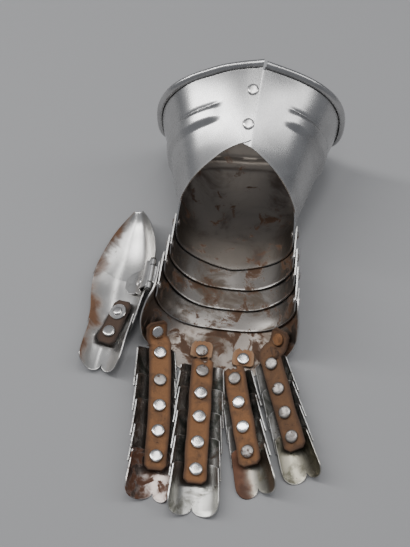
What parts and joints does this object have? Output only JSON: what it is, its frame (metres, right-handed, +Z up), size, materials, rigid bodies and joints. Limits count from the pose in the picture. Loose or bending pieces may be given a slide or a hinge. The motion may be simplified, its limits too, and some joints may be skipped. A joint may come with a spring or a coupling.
{
  "type": "armoured gauntlet",
  "caption": "Steel plate gauntlet for the right hand, palm side up, with a flared cuff, wrist lames, finger scales on leather straps and a hinged thumb.",
  "frame": {"origin": "centre of the bounding box's base, on the surface the gauntlet lies on", "axes": "+Y from the finger tips towards the forearm opening, +X towards the little finger, +Z up, out of the palm"},
  "size_m": [0.1696, 0.303, 0.1142],
  "materials": {
    "polished_steel": "satin polish with faint brushing and soft dents",
    "patinated_steel": "inside faces brown-grey with speckled rust",
    "scale_steel": "grey steel with rust and dark corrosion, bright where it was rubbed",
    "hinge_steel": "worn bright on the barrel, brown on the leaf",
    "dark_iron": "dark pin end",
    "tan_leather": "suede side up, darker along the edges",
    "dark_leather": "dark brown, worn"
  },
  "bodies": {
    "cuff": {"cuff": "polished_steel"},
    "lame_a": {"wrist_lame_a": "patinated_steel"},
    "lame_b": {"wrist_lame_b": "patinated_steel"},
    "lame_c": {"wrist_lame_c": "patinated_steel"},
    "hand": {"hand_plate": "patinated_steel", "index_scale_1": "scale_steel", "index_scale_2": "scale_steel", "index_scale_3": "scale_steel", "index_scale_4": "scale_steel", "index_scale_5": "scale_steel", "index_strap": "tan_leather", "middle_scale_1": "scale_steel", "middle_scale_2": "scale_steel", "middle_scale_3": "scale_steel", "middle_scale_4": "scale_steel", "middle_scale_5": "scale_steel", "middle_strap": "tan_leather", "middle_strap_tab": "tan_leather", "ring_scale_1": "scale_steel", "ring_scale_2": "scale_steel", "ring_scale_3": "scale_steel", "ring_scale_4": "scale_steel", "ring_strap": "tan_leather", "ring_strap_tab": "tan_leather", "little_scale_1": "scale_steel", "little_scale_2": "scale_steel", "little_scale_3": "scale_steel", "little_scale_4": "scale_steel", "little_strap": "tan_leather", "hand_hinge_leaf": "hinge_steel", "hinge_pin": "dark_iron"},
    "thumb": {"thumb_heel_plate": "scale_steel", "thumb_base_lame": "scale_steel", "thumb_tip_scale": "scale_steel", "thumb_strap": "dark_leather", "thumb_hinge_leaf": "hinge_steel"}
  },
  "joints": [
    {"name": "cuff_to_lame_a", "type": "hinge", "parent": "cuff", "child": "lame_a", "pos_m": [0.01192, 0.0411, 0.038], "axis": [1, 0, 0], "range_deg": [-3.5, 5]},
    {"name": "lame_a_to_lame_b", "type": "hinge", "parent": "lame_a", "child": "lame_b", "pos_m": [0.01192, 0.0231, 0.038], "axis": [1, 0, 0], "range_deg": [-4.5, 5]},
    {"name": "lame_b_to_lame_c", "type": "hinge", "parent": "lame_b", "child": "lame_c", "pos_m": [0.01192, 0.0091, 0.038], "axis": [1, 0, 0], "range_deg": [-4, 5]},
    {"name": "lame_c_to_hand", "type": "hinge", "parent": "lame_c", "child": "hand", "pos_m": [0.01192, -0.0096, 0.038], "axis": [1, 0, 0], "range_deg": [-0.5, 5]},
    {"name": "thumb_hinge", "type": "hinge", "parent": "hand", "child": "thumb", "pos_m": [-0.04008, -0.0029, 0.039], "axis": [0, 1, 0], "range_deg": [-2, 95]}
  ]
}
